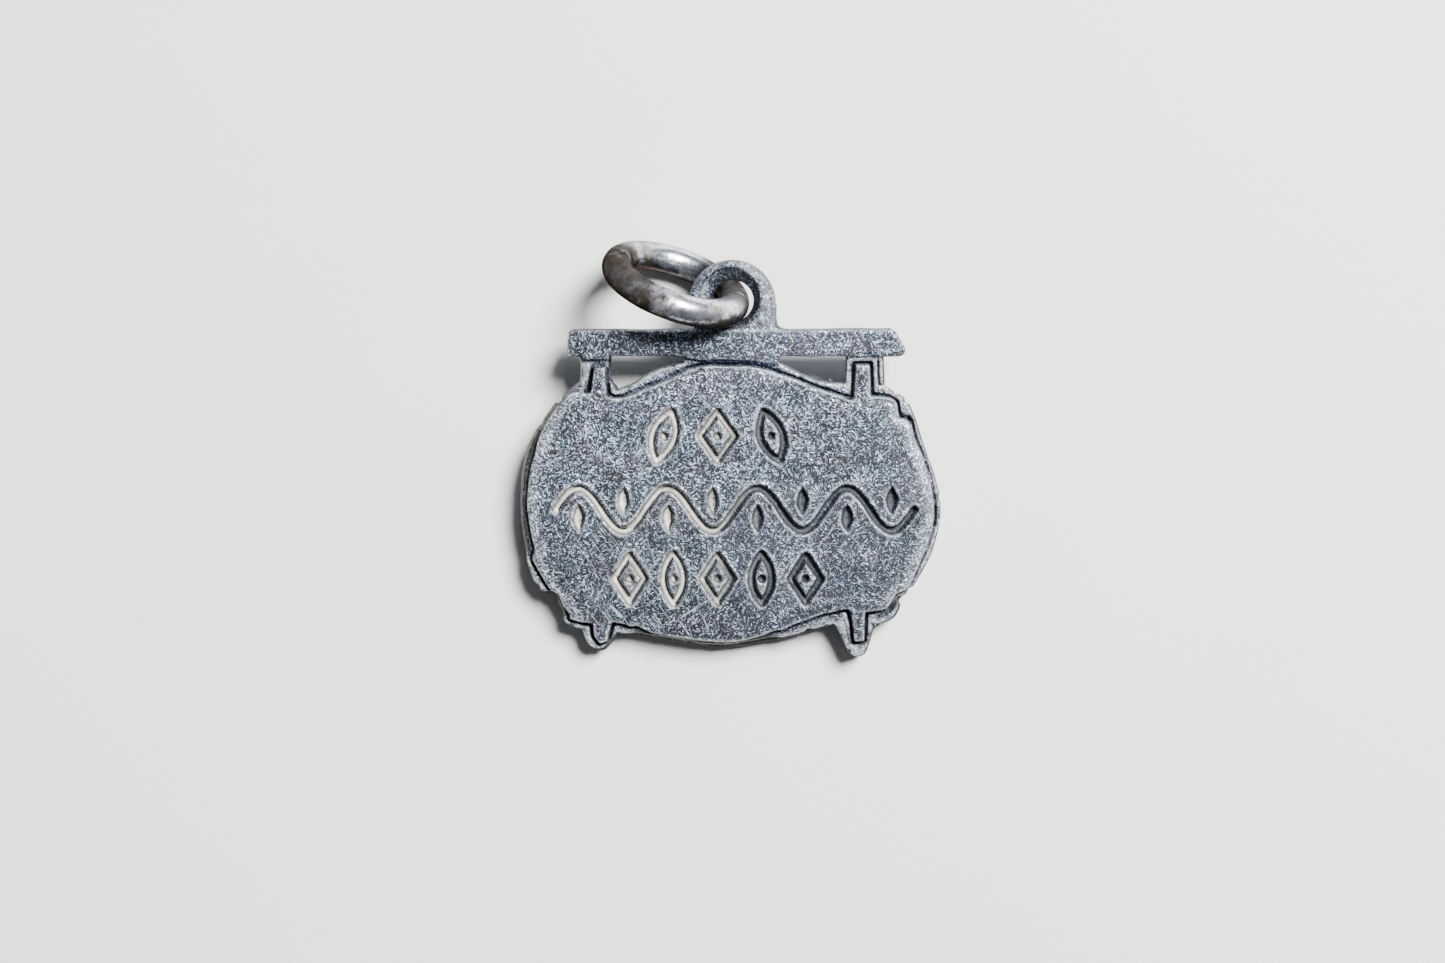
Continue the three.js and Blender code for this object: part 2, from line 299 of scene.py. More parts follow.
def blend(grid, iu, iv, ju, jv, fu, fv):
    """The value between four knots of a grid, at the fractions fu and fv."""
    return ((grid[iu, iv] * (1 - fu) + grid[ju, iv] * fu) * (1 - fv)
            + (grid[iu, jv] * (1 - fu) + grid[ju, jv] * fu) * fv)


def noise_map(size, seed, octaves=1):
    """Smooth random map over the plan, about -1 to 1, with features of one size."""
    total = np.zeros(GX.shape)
    weight = 1.0
    for k in range(octaves):
        r = np.random.default_rng(seed + 101 * k)
        cell = size / 2 ** k
        nx = int((XS[-1] - XS[0]) / cell) + 4
        ny = int((YS[-1] - YS[0]) / cell) + 4
        grid = r.uniform(-1, 1, (nx, ny))
        u = (GX - XS[0]) / cell
        v = (GY - YS[0]) / cell
        iu = u.astype(int)
        iv = v.astype(int)
        total += weight * blend(grid, iu, iv, iu + 1, iv + 1, ease(u - iu), ease(v - iv))
        weight *= 0.5
    return total


def sample(field2d, p):
    """A map's value at each point of the charm's own frame."""
    u = np.clip((p[:, 0] - XS[0]) / STEP, 0, len(XS) - 1.001)
    v = np.clip((p[:, 1] - YS[0]) / STEP, 0, len(YS) - 1.001)
    iu = u.astype(int)
    iv = v.astype(int)
    return blend(field2d, iu, iv, iu + 1, iv + 1, u - iu, v - iv)


# ---------------------------------------------------------------- outline maps
wobble = 0.03 * noise_map(1.1, 11, 2)
d_rim = np.minimum.reduce([polygon_distance(p) for p in
                           (BOARD, LEFT_POST, RIGHT_POST, LEFT_FOOT, RIGHT_FOOT)])
for nick in NICKS:
    d_rim = smooth_max(d_rim, -round_distance(*nick), 0.12)
d_rim = smooth_min(d_rim, round_distance(*BURR), 0.12)
d_face = polygon_distance(FACE)
for tongue in TONGUES:
    d_face = smooth_min(d_face, polygon_distance(tongue), 0.12)
d_bar = smooth_min(polygon_distance(BAR), polygon_distance(COLLAR), 0.15)
d_bar = smooth_min(d_bar, polygon_distance(POST_CAP), 0.1) + 0.025 * noise_map(0.9, 15, 2)
d_eye = smooth_min(round_distance(*EYE_AT, EYE_R), polygon_distance(NECK), 0.25)

# The left and lower sides of the board slope out from the face to the foot.
slope_left = smoothstep(-6.5, -9.2, GX) * (GY < 7.5)
slope_left *= 1 - smoothstep(-2.0, -2.8, GY) * smoothstep(-4.6, -4.2, GY)
slope_left *= smoothstep(-5.9, -5.5, GY)
slope_low = smoothstep(-4.5, -6.2, GY) * smoothstep(-5.3, -4.7, GX) * smoothstep(2.9, 2.0, GX)
slope = np.maximum(slope_left, 0.8 * slope_low)
d_face = (d_face + wobble + 0.27 * slope
          + 0.14 * slope_left * smoothstep(4.5, 2.5, GY) * smoothstep(-3.6, -2.2, GY))
# The front and back halves don't quite meet, as from two dies.
d_rim_front = shifted(d_rim, -0.05, 0.05) + 0.05 + wobble
d_rim_back = shifted(d_rim, 0.05, -0.05) + 0.04 + 0.03 * noise_map(0.9, 12, 2)

# ---------------------------------------------------------------- ornament
TOP_Y = 3.75                        # the three rows
MID_Y = -0.05
LOW_Y = -3.65
LOW_X0 = -5.15                      # the low row's first figure, and their pitch
LOW_PITCH = 2.27
LOW_COUNT = 5
VINE_X0 = -8.9
VINE_PITCH = 2.3                    # one leaf in each bend of the vine
VINE_BENDS = 8
VINE_RISE = 1.1
PELLET_R = 0.21

strokes = []                        # distances to the middle line of each stroke
solids = []                         # distances to each sunk area


def leaf_points(x, y, half_l, half_w, degrees):
    a = math.radians(degrees)
    t = np.linspace(0, 1, 15)[:, None]
    tips = np.array([[-half_l, 0.0], [half_l, 0.0]])
    low = (1 - t) ** 2 * tips[0] + 2 * t * (1 - t) * np.array([0, -2 * half_w]) + t ** 2 * tips[1]
    high = (1 - t) ** 2 * tips[1] + 2 * t * (1 - t) * np.array([0, 2 * half_w]) + t ** 2 * tips[0]
    p = np.vstack([low[:-1], high[:-1]])
    turn = np.array([[math.cos(a), math.sin(a)], [-math.sin(a), math.cos(a)]])
    return p @ turn + (x, y)


def add_figure(x, y, points):
    """A closed stroke with a sunk pellet in its middle."""
    strokes.append(np.abs(polygon_distance(points)))
    solids.append(round_distance(x, y, PELLET_R))


def add_lozenge(x, y, half_w, half_h):
    corners = [(x + half_w, y), (x, y + half_h), (x - half_w, y), (x, y - half_h)]
    add_figure(x, y, np.array(corners))


def add_leaf(x, y, half_l, half_w, degrees):
    add_figure(x, y, leaf_points(x, y, half_l, half_w, degrees))


add_leaf(-3.35, TOP_Y, 1.32, 0.58, 72)
add_lozenge(-0.6, TOP_Y, 0.88, 1.25)
add_leaf(2.15, TOP_Y, 1.32, 0.58, 108)
vine_x = np.linspace(VINE_X0, VINE_X0 + VINE_PITCH * VINE_BENDS, 120)
vine_y = MID_Y + VINE_RISE * np.sin(math.pi * (vine_x - VINE_X0) / VINE_PITCH)
strokes.append(line_distance(np.stack([vine_x, vine_y], 1)))
for i in range(VINE_BENDS):
    leaf_x = VINE_X0 + VINE_PITCH * (i + 0.5)
    leaf_y = MID_Y - (0.45 if i % 2 == 0 else -0.45)
    solids.append(polygon_distance(leaf_points(leaf_x, leaf_y, 0.72, 0.3, 90)))
for i in range(LOW_COUNT):
    if i % 2 == 0:
        add_lozenge(LOW_X0 + LOW_PITCH * i, LOW_Y, 0.78, 1.2)
    else:
        add_leaf(LOW_X0 + LOW_PITCH * i, LOW_Y, 1.28, 0.52, 90)

# below 0 inside a groove
carve = np.minimum(np.minimum.reduce(strokes) - STROKE_HALF_W, np.minimum.reduce(solids))
carve = carve + 0.02 * noise_map(0.4, 21)
groove = 1 - smoothstep(-0.13, 0.04, carve)
lip = near(carve, 0.09, 0.07)
lip_x, lip_y = np.gradient(carve, STEP)
# the lips' wear, painted brighter on the side turned to the light as a painted highlight
lip_wear_and_highlight = lip * (0.38 + 0.62 * smoothstep(-0.3, 0.7, -0.86 * lip_x - 0.5 * lip_y))

# ---------------------------------------------------------------- heights
uneven = 0.02 * noise_map(3.1, 31) + 0.010 * noise_map(0.9, 32, 2)
face_up = 1 - smoothstep(-0.07, 0.05, d_face)
depth_vary = 1 + 0.25 * noise_map(1.6, 41)

# The moat is deep beside the tongues and shallow at the sloping sides, the right edge and
# two places where the face has run into the rim.
legs = smoothstep(0.95, 0.75, np.abs(np.abs(GX) - 6.75)) * smoothstep(5.1, 5.4, np.abs(GY))
right_edge = smoothstep(7.8, 8.8, GX) * (GY < 7)
corner = smoothstep(-7.36, -7.5, GX) * smoothstep(5.2, 5.8, GY)
merged = smoothstep(8.7, 9.2, GX) * smoothstep(-1.7, -2.4, GY) * smoothstep(-4.7, -4.3, GY)
merged = np.maximum(merged, corner)
moat = near(d_face - 0.09 + 0.02 * right_edge, 0, 0.05 + 0.022 * legs)
moat = moat * (0.70 + 0.30 * legs) * (1 - 0.7 * smoothstep(7.05, 7.25, GY) * (GX < -5))
moat = moat * depth_vary * (1 - 0.85 * slope) * (1 - 0.85 * merged)
moat = moat * (1 - 0.42 * smoothstep(9.2, 9.8, GX) * (GY < 4))
crease = np.zeros(GX.shape)
for line, half_width, depth in CREASES:
    crease = np.maximum(crease, depth / MOAT_DEPTH * near(line_distance(line), 0, half_width))

rim_top = RIM_FRONT + 0.05 * noise_map(1.4, 42) + 0.16 * smoothstep(0, 8, GX) * (GY < 8)
rim_top = rim_top + 0.22 * corner * (GY < 6.7)
front_h = (rim_top + (FRONT - rim_top) * face_up
           - EDGE_DROP * from_edge(d_face, 0.16) * face_up
           - FLANK_DROP * from_edge(d_face, 0.45) * smoothstep(6.0, 9.5, np.abs(GX))
           - MOAT_DEPTH * np.maximum(moat, crease)
           - STROKE_DEPTH * groove * depth_vary * face_up
           + LIP_RISE * lip * face_up
           + uneven * 1.3)
front_h = np.minimum(front_h, FRONT + 0.04)

# the back: a plain raised panel with one sunk line inside its edge
d_panel = shifted(d_face, 0.1, -0.05)
panel_up = 1 - smoothstep(-0.07, 0.05, d_panel)
back_h = (RIM_BACK * (1 - panel_up) + 0.02 * panel_up
          + 0.08 * from_edge(d_panel, 0.16) * panel_up + 0.20 * near(d_panel, 0.11, 0.075)
          + 0.14 * near(d_panel, -0.75, 0.09) * panel_up
          + 0.015 * noise_map(2.6, 51) + 0.010 * noise_map(0.8, 52, 2))
back_h = np.maximum(back_h, 0.005)

bar_top = BAR_FRONT + 0.012 * noise_map(1.7, 61, 2)
bar_top = bar_top - 0.03 * near(line_distance(BAR_SCRATCH), 0, 0.05)
bar_top = bar_top - 0.10 * near(line_distance(BAR_CUT), 0, 0.05)
eye_top = EYE_FRONT + 0.02 * noise_map(1.2, 62, 2) - MOAT_DEPTH * crease


# ---------------------------------------------------------------- the solid
def slope_scale(h):
    """What turns a height difference into a distance to the sloping surface."""
    gx, gy = np.gradient(h, STEP)
    return 1 / np.sqrt(1 + gx * gx + gy * gy)


def charm_field():
    """Distance to the charm's surface on a 3-D grid, negative inside."""
    front_s = slope_scale(front_h)
    back_s = slope_scale(back_h)
    draft = DRAFT - 0.13 * smoothstep(3, 8, GX)
    field = np.empty((len(XS), len(YS), len(ZS)), np.float32)
    for k, z in enumerate(ZS):
        lean = abs(z - PARTING)
        rim = (d_rim_front if z > PARTING else d_rim_back) + draft * lean
        rim = rim + slope * (0.30 * max(z - 0.35, 0) - 0.05 - draft * lean)
        slab = smooth_max((z - front_h) * front_s, (back_h - z) * back_s, 0.02)
        board = smooth_max(rim, slab, 0.09)
        bar = smooth_max(d_bar + 0.02 + 0.06 * lean, BAR_BACK - z, 0.2)
        bar = smooth_max(bar, z - bar_top, 0.15)
        eye_slab = np.maximum(z - eye_top, EYE_BACK - z)
        eye = smooth_max(d_eye + 0.02 + 0.08 * lean, eye_slab, 0.26)
        solid = smooth_min(board, smooth_min(bar, eye, 0.22), 0.06)
        # 0 in the waist and 1 at either mouth
        t = max(smoothstep(WAIST[1], MOUTHS[1], z), smoothstep(WAIST[0], MOUTHS[0], z))
        at = HOLE_AT + (FLARE_AT - HOLE_AT) * t
        hole = -round_distance(*at, HOLE_R + (FLARE_R - HOLE_R) * t)
        field[:, :, k] = smooth_max(solid, hole, 0.1)
    return field


def surface_nets(f, origin, step):
    """Closed quad mesh of the surface f = 0, with f below 0 inside."""
    inside = f < 0
    corner = [(i, j, k) for i in (0, 1) for j in (0, 1) for k in (0, 1)]
    shape = tuple(n - 1 for n in f.shape)

    def part(a, i, j, k):
        return a[i:i + shape[0], j:j + shape[1], k:k + shape[2]]

    count = sum(part(inside, *c).astype(np.int8) for c in corner)
    cells = np.argwhere((count > 0) & (count < 8))
    number = np.full(shape, -1, np.int32)
    number[tuple(cells.T)] = np.arange(len(cells))
    values = {c: f[cells[:, 0] + c[0], cells[:, 1] + c[1], cells[:, 2] + c[2]] for c in corner}
    total = np.zeros((len(cells), 3))
    hits = np.zeros(len(cells))
    for a in corner:
        for axis in range(3):
            if a[axis]:
                continue
            b = tuple(1 if n == axis else a[n] for n in range(3))
            va = values[a]
            vb = values[b]
            cross = (va < 0) != (vb < 0)
            t = va[cross] / (va[cross] - vb[cross])
            p = np.tile(np.array(a, float), (cross.sum(), 1))
            p[:, axis] += t
            total[cross] += p
            hits[cross] += 1
    verts = (cells + total / hits[:, None]) * step + origin
    faces = []
    for axis in range(3):
        u, v = (axis + 1) % 3, (axis + 2) % 3
        lo = [slice(1, n) for n in f.shape]
        lo[axis] = slice(0, f.shape[axis] - 1)
        hi = list(lo)
        hi[axis] = slice(1, f.shape[axis])
        a = inside[tuple(lo)]
        b = inside[tuple(hi)]
        for first, second, flip in ((a, b, False), (b, a, True)):
            at = np.argwhere(first & ~second)
            for n in range(3):
                if n != axis:
                    at[:, n] += 1
            ring = []
            for du, dv in ((0, 0), (-1, 0), (-1, -1), (0, -1)):
                c = at.copy()
                c[:, u] += du
                c[:, v] += dv
                ring.append(number[tuple(c.T)])
            if flip:
                ring.reverse()
            faces.append(np.stack(ring, 1))
    return verts, np.vstack(faces)


def mesh_object(name, points, polys):
    mesh = bpy.data.meshes.new(name)
    sides = polys.shape[1]
    mesh.vertices.add(len(points))
    mesh.vertices.foreach_set("co", np.ascontiguousarray(points, np.float32).ravel())
    mesh.loops.add(polys.size)
    mesh.loops.foreach_set("vertex_index", np.ascontiguousarray(polys, np.int32).ravel())
    mesh.polygons.add(len(polys))
    mesh.polygons.foreach_set("loop_start", np.arange(0, polys.size, sides, dtype=np.int32))
    mesh.update(calc_edges=True)
    mesh.validate()
    mesh.polygons.foreach_set("use_smooth", np.ones(len(mesh.polygons), bool))
    obj = bpy.data.objects.new(name, mesh)
    bpy.context.scene.collection.objects.link(obj)
    return obj


MOST_TRIANGLES = 190000


def thinned(obj, ratio):
    """The object with its mesh reduced to a share of its triangles."""
    thin = obj.modifiers.new("thin", "DECIMATE")
    thin.ratio = ratio
    graph = bpy.context.evaluated_depsgraph_get()
    mesh = bpy.data.meshes.new_from_object(obj.evaluated_get(graph))
    obj.modifiers.clear()
    obj.data = mesh
    mesh.polygons.foreach_set("use_smooth", np.ones(len(mesh.polygons), bool))
    return obj


verts, quads = surface_nets(charm_field(), np.array([XS[0], YS[0], ZS[0]]), STEP)
charm = mesh_object("charm_casting", charm_to_row(verts) * MM, quads)
if 2 * len(quads) > MOST_TRIANGLES:
    charm = thinned(charm, MOST_TRIANGLES / (2 * len(quads)))


# ---------------------------------------------------------------- patina, wear and painted light on the charm
def add_attribute(obj, name, values):
    attribute = obj.data.attributes.new(name, "FLOAT", "POINT")
    attribute.data.foreach_set("value", np.ascontiguousarray(values, np.float32))


def vertex_values(obj, name):
    values = np.empty(len(obj.data.vertices) * 3, np.float32)
    obj.data.vertices.foreach_get(name, values)
    return values.reshape(-1, 3)


local = row_to_charm(vertex_values(charm, "co").astype(float) / MM)
x, y, z = local.T
face_d = sample(d_face, local)
rim_d = sample(d_rim_front, local)
bar_d = sample(d_bar, local)
eye_d = sample(d_eye, local)
slope_here = sample(slope, local)
hole_x = x - HOLE_AT[0]
hole_y = y - HOLE_AT[1]
hole_r = np.hypot(hole_x, hole_y)
toward_light = (hole_x * 0.75 + hole_y * 0.45) / np.maximum(hole_r, 0.1)

# dark patina in the ornament and the moat, and painted shade in the hole and on the upright sides
in_groove = sample(groove, local) * smoothstep(1.45, 1.7, z) * (face_d < 0)
in_moat = sample(np.clip(np.maximum(moat, crease), 0, 1), local)
in_moat = in_moat * smoothstep(0.95, 1.15, z) * (bar_d > 0.05)
# painted shade in the hole: on the funnel wall that faces away from the light, and all round deep
# in the hole
in_hole = (1 - smoothstep(1.35, 1.6, hole_r)) * smoothstep(-0.55, -0.15, toward_light)
in_hole = np.maximum(in_hole, 1 - smoothstep(1.14, 1.24, hole_r))
# painted shade on the upright sides of the rim, the bar and the eye
on_wall = smoothstep(-0.16, -0.04, np.minimum.reduce([rim_d, bar_d, eye_d]))
on_wall = on_wall * (1 - smoothstep(1.25, 1.55, z))
bar_wall = smoothstep(-0.15, -0.06, np.minimum(bar_d, eye_d))
bar_wall = bar_wall * (1 - smoothstep(1.66, 1.90, z)) * (rim_d > 0.02)
on_wall = np.maximum(on_wall, bar_wall)
patina_and_shade = np.maximum.reduce([in_groove, in_moat, 0.8 * in_hole, 0.75 * on_wall])
add_attribute(charm, "patina_and_shade", np.clip(patina_and_shade, 0, 1))
# painted shade: the upright sides are painted darker and plainer
add_attribute(charm, "side", np.clip(on_wall * (1 - slope_here), 0, 1))
# painted shade on the sloping sides down to the foot
sloping = slope_here * (1 - smoothstep(1.68, 1.9, z)) * smoothstep(-0.12, 0.0, face_d)
add_attribute(charm, "wall", np.clip(sloping, 0, 1))

# the strokes, and which of their sides is turned towards the light
fall_x, fall_y = np.gradient(-groove, STEP)
lit = -sample(0.85 * fall_x + 0.5 * fall_y, local) * (in_groove > 0)
add_attribute(charm, "stroke", in_groove)
add_attribute(charm, "lit", np.clip(0.5 + 0.12 * lit, 0, 1))
add_attribute(charm, "across", x / 11)

# wear along every edge, on the tongues, round the eye and beside the strokes, with painted
# highlights on the funnel wall and the side of the eye turned to the light
eye_turn = np.degrees(np.arctan2(hole_y, hole_x))
# painted highlight on the side of the eye turned to the light
eye_bright = (smoothstep(-0.95, -0.75, eye_d) * smoothstep(-0.12, -0.25, eye_d)
              * smoothstep(1.6, 1.8, z) * smoothstep(100, 70, eye_turn)
              * smoothstep(-50, -30, eye_turn) * (bar_d > 0))
flare_r = np.hypot(x - FLARE_AT[0], y - FLARE_AT[1])
# painted highlight on the funnel wall turned to the light
lit_funnel = (smoothstep(1.22, 1.30, flare_r) * smoothstep(1.54, 1.46, flare_r)
              * smoothstep(-0.25, -0.6, toward_light))
off_bar = smoothstep(-0.02, 0.06, bar_d)
on_rim = smoothstep(1.3, 1.5, z)
wear_and_highlight = np.clip(np.maximum.reduce([
    near(face_d, -0.06, 0.07) * smoothstep(1.7, 1.9, z),
    near(rim_d, -0.14, 0.10) * on_rim * (face_d > 0.1) * off_bar,
    0.7 * sample(legs, local) * on_rim * (face_d > 0.17) * (rim_d < -0.04) * off_bar,
    0.45 * near(bar_d, -0.10, 0.07) * smoothstep(1.75, 1.88, z),
    0.6 * slope_here * near(z, 0.42, 0.1),
    0.25 * near(eye_d, -0.12, 0.08) * smoothstep(1.5, 1.75, z) * (bar_d > 0.1),
    0.9 * near(hole_r, 1.62, 0.08) * smoothstep(1.6, 1.8, z) * (bar_d > 0.1),
    lit_funnel * smoothstep(1.2, 1.3, z),
    0.42 * eye_bright,
    sample(lip_wear_and_highlight, local) * smoothstep(1.85, 1.98, z)]), 0, 1)
add_attribute(charm, "wear_and_highlight", wear_and_highlight)
band = near(face_d, -0.32, 0.22) * smoothstep(6.5, 9.5, np.abs(x)) * smoothstep(1.7, 1.85, z)
add_attribute(charm, "band", band)

# painted sheen: how much lighter the surface is painted, as where more light falls: more at the top
# and, on the bar, to the right; on the bar it is also painted lighter where the ring's shadow falls
# on it
on_bar = smoothstep(7.4, 8.0, y)
board_sheen = (smoothstep(-7.5, 7.0, y) + 0.008 * x
             + 0.22 * near(x, -1.5, 4.5) * near(y, 1.5, 1.8)
             - 0.26 * near(x, 8.0, 3.2) * near(y, -3.0, 2.4))
bar_sheen = (0.52 + 0.55 * smoothstep(-1.0, 4.8, x)
           + smoothstep(9.6, 10.6, y) * smoothstep(-1.0, 2.0, x)
           - 0.50 * smoothstep(9.6, 10.4, y) * smoothstep(0.2, -1.2, x)
           - 0.38 * smoothstep(-5.0, -6.0, x)
           + 0.55 * smoothstep(-5.8, -5.2, x) * smoothstep(0.2, -1.5, x)
           * smoothstep(7.7, 8.7, y) * (y < 9.6))
add_attribute(charm, "painted_sheen", np.clip(board_sheen * (1 - on_bar) + bar_sheen * on_bar, 0, 1))

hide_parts("charm_body")
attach(charm, "charm")

# ---------------------------------------------------------------- the ring
RING_R = 3.18                       # centre of the ring to the middle of the wire
WIRE_R = 0.750
RING_TURN = math.radians(-20.8)     # long axis of the leaning ring in plan
RING_LEAN = math.radians(24.6)      # lean from upright
RING_FROM_EYE = np.array([-2.92, 0.80329, 0.72207])
SEAM_AT = math.radians(-2)
SEAM_GAP = 0.09
SEAM_STEP = 0.02                    # one cut end stands a little proud
END_LENGTH = 0.07                   # the cut ends are rounded over this length
END_DROP = 0.05
UNEVEN_WIRE = 0.006                 # share of the radius
DENT_DEPTH = 0.006
DENTS_ALONG = 40
DENTS_AROUND = 12
BROWN_END_AT = math.radians(140)      # middle of the brown stretch, round the ring
STEPS = 400
SIDES = 72
TURN = 2 * math.pi

long_axis = np.array([math.cos(RING_TURN), math.sin(RING_TURN), 0])
level = np.array([math.sin(RING_TURN), -math.cos(RING_TURN), 0])
rise = math.sin(RING_LEAN) * level + math.cos(RING_LEAN) * np.array([0, 0, 1.0])
ring_normal = np.cross(long_axis, rise)
ring_at = HINGE_AT + RING_FROM_EYE


def smooth_random(n, knots, seed):
    """A closed smooth random curve of n values, -1 to 1."""
    r = np.random.default_rng(seed).uniform(-1, 1, knots)
    t = np.arange(n) / n * knots
    i = t.astype(int)
    f = ease(t - i)
    return r[i % knots] * (1 - f) + r[(i + 1) % knots] * f


def dent_map(turn, around):
    """Shallow dents over the wire, along its length and round it."""
    dents = DENT_DEPTH * np.random.default_rng(8).uniform(-1, 1, (DENTS_ALONG, DENTS_AROUND))
    u = ((turn - turn[0]) / TURN * DENTS_ALONG)[:, None]
    v = (around / TURN * DENTS_AROUND)[None, :]
    iu = u.astype(int)
    iv = v.astype(int)
    return blend(dents, iu % DENTS_ALONG, iv % DENTS_AROUND, (iu + 1) % DENTS_ALONG,
                 (iv + 1) % DENTS_AROUND, ease(u - iu), ease(v - iv))


def close_ends(mesh, last):
    """Fans of triangles from the two middle points at the end of the vertex list."""
    bm = bmesh.new()
    bm.from_mesh(mesh)
    bm.verts.ensure_lookup_table()
    for end, first in ((len(bm.verts) - 2, 0), (len(bm.verts) - 1, last)):
        for j in range(SIDES):
            a = bm.verts[first + j]
            b = bm.verts[first + (j + 1) % SIDES]
            bm.faces.new((bm.verts[end], b, a) if first == 0 else (bm.verts[end], a, b))
    bmesh.ops.recalc_face_normals(bm, faces=bm.faces)
    bm.to_mesh(mesh)
    bm.free()
    for polygon in mesh.polygons:
        polygon.use_smooth = len(polygon.vertices) == 4


gap = SEAM_GAP / RING_R
turn = SEAM_AT + gap / 2 + np.linspace(0, 1, STEPS) * (TURN - gap)
around = np.linspace(0, TURN, SIDES, endpoint=False)
from_end = np.minimum(turn - turn[0], turn[-1] - turn) * RING_R
end_round = np.where(from_end < END_LENGTH, END_DROP * (1 - from_end / END_LENGTH) ** 2, 0)
radius = WIRE_R * (1 - UNEVEN_WIRE + UNEVEN_WIRE * smooth_random(STEPS, 23, 5)) - end_round
rad = radius[:, None] + dent_map(turn, around)
offset = SEAM_STEP * np.exp(-(turn[-1] - turn) / 0.12)
outward = np.cos(turn)[:, None] * long_axis + np.sin(turn)[:, None] * rise
centre = ring_at + outward * RING_R + offset[:, None] * ring_normal
tube = (centre[:, None, :]
        + (rad * np.cos(around))[:, :, None] * outward[:, None, :]
        + (rad * np.sin(around))[:, :, None] * ring_normal)
tube_points = np.vstack([tube.reshape(-1, 3), centre[0], centre[-1]])
i0 = np.arange(STEPS - 1)[:, None] * SIDES
j0 = np.arange(SIDES)[None, :]
j1 = (j0 + 1) % SIDES
side_quads = np.stack([i0 + j0, i0 + j1, i0 + SIDES + j1, i0 + SIDES + j0], 2).reshape(-1, 4)
ring = mesh_object("ring_wire", tube_points * MM, side_quads)
close_ends(ring.data, (STEPS - 1) * SIDES)

normals = vertex_values(ring, "normal")
turn_of = np.concatenate([np.repeat(turn, SIDES), [turn[0], turn[-1]]])
seam = np.exp(-np.minimum(turn_of - turn[0], turn[-1] - turn_of) * RING_R / END_LENGTH)
# worn brighter, and painted as a highlight, on the crests of the two arcs where the light catches
# them, and painted lighter near the right end
polish_and_highlight = np.maximum(smoothstep(0.40, 0.90, np.abs(np.sin(turn_of - 0.1))),
                    0.45 * near(turn_of, 0.45, 0.4))
under_eye = (smoothstep(TURN - 0.12, TURN - 0.5, turn_of)
             * smoothstep(math.pi * 1.5, math.pi * 1.65, turn_of))
# painted shade on the wire's underside, from the way its surface faces
add_attribute(ring, "under", 0.5 - 0.42 * normals[:, 2] - 0.27 * normals[:, 1])
add_attribute(ring, "polish_and_highlight", polish_and_highlight)
add_attribute(ring, "shade", under_eye)
add_attribute(ring, "seam", seam)
# how near each point is to the middle of the painted dark end
add_attribute(ring, "end", np.cos(turn_of - BROWN_END_AT))
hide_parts("jump_ring")
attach(ring, "ring")


# ---------------------------------------------------------------- materials
# Noise and cell scales are per metre: 1000 gives features of about a millimetre.
# painted highlight and painted shade in the ornament's strokes
PAINTED_STROKE_HIGHLIGHT = (0.90, 0.86, 0.74, 1)
PAINTED_STROKE_SHADE = (0.075, 0.085, 0.10, 1)
# dark patina in the hollows, and painted shade in the hole and on the upright sides
BLACK_PATINA_AND_SHADE = (0.008, 0.009, 0.010, 1)
# painted shade on the sloping sides
SLOPE_SHADE = (0.020, 0.021, 0.017, 1)
DARK_PATCH = (0.040, 0.045, 0.052, 1)
BLUISH = (0.10, 0.105, 0.15, 1)
BROWN_WIRE = (0.20, 0.165, 0.135, 1)
DARK_BROWN = (0.085, 0.075, 0.070, 1)
# painted reflection at the ring's end away from the eye
DARK_END_REFLECTION = (0.026, 0.019, 0.012, 1)
# painted shade on the ring's underside
UNDERSIDE_SHADE = (0.032, 0.025, 0.019, 1)
BLACK_SHADE = (0.012, 0.011, 0.010, 1)
BLACK_SEAM = (0.01, 0.009, 0.008, 1)
WARM_TINT = (0.30, 0.25, 0.21, 1)


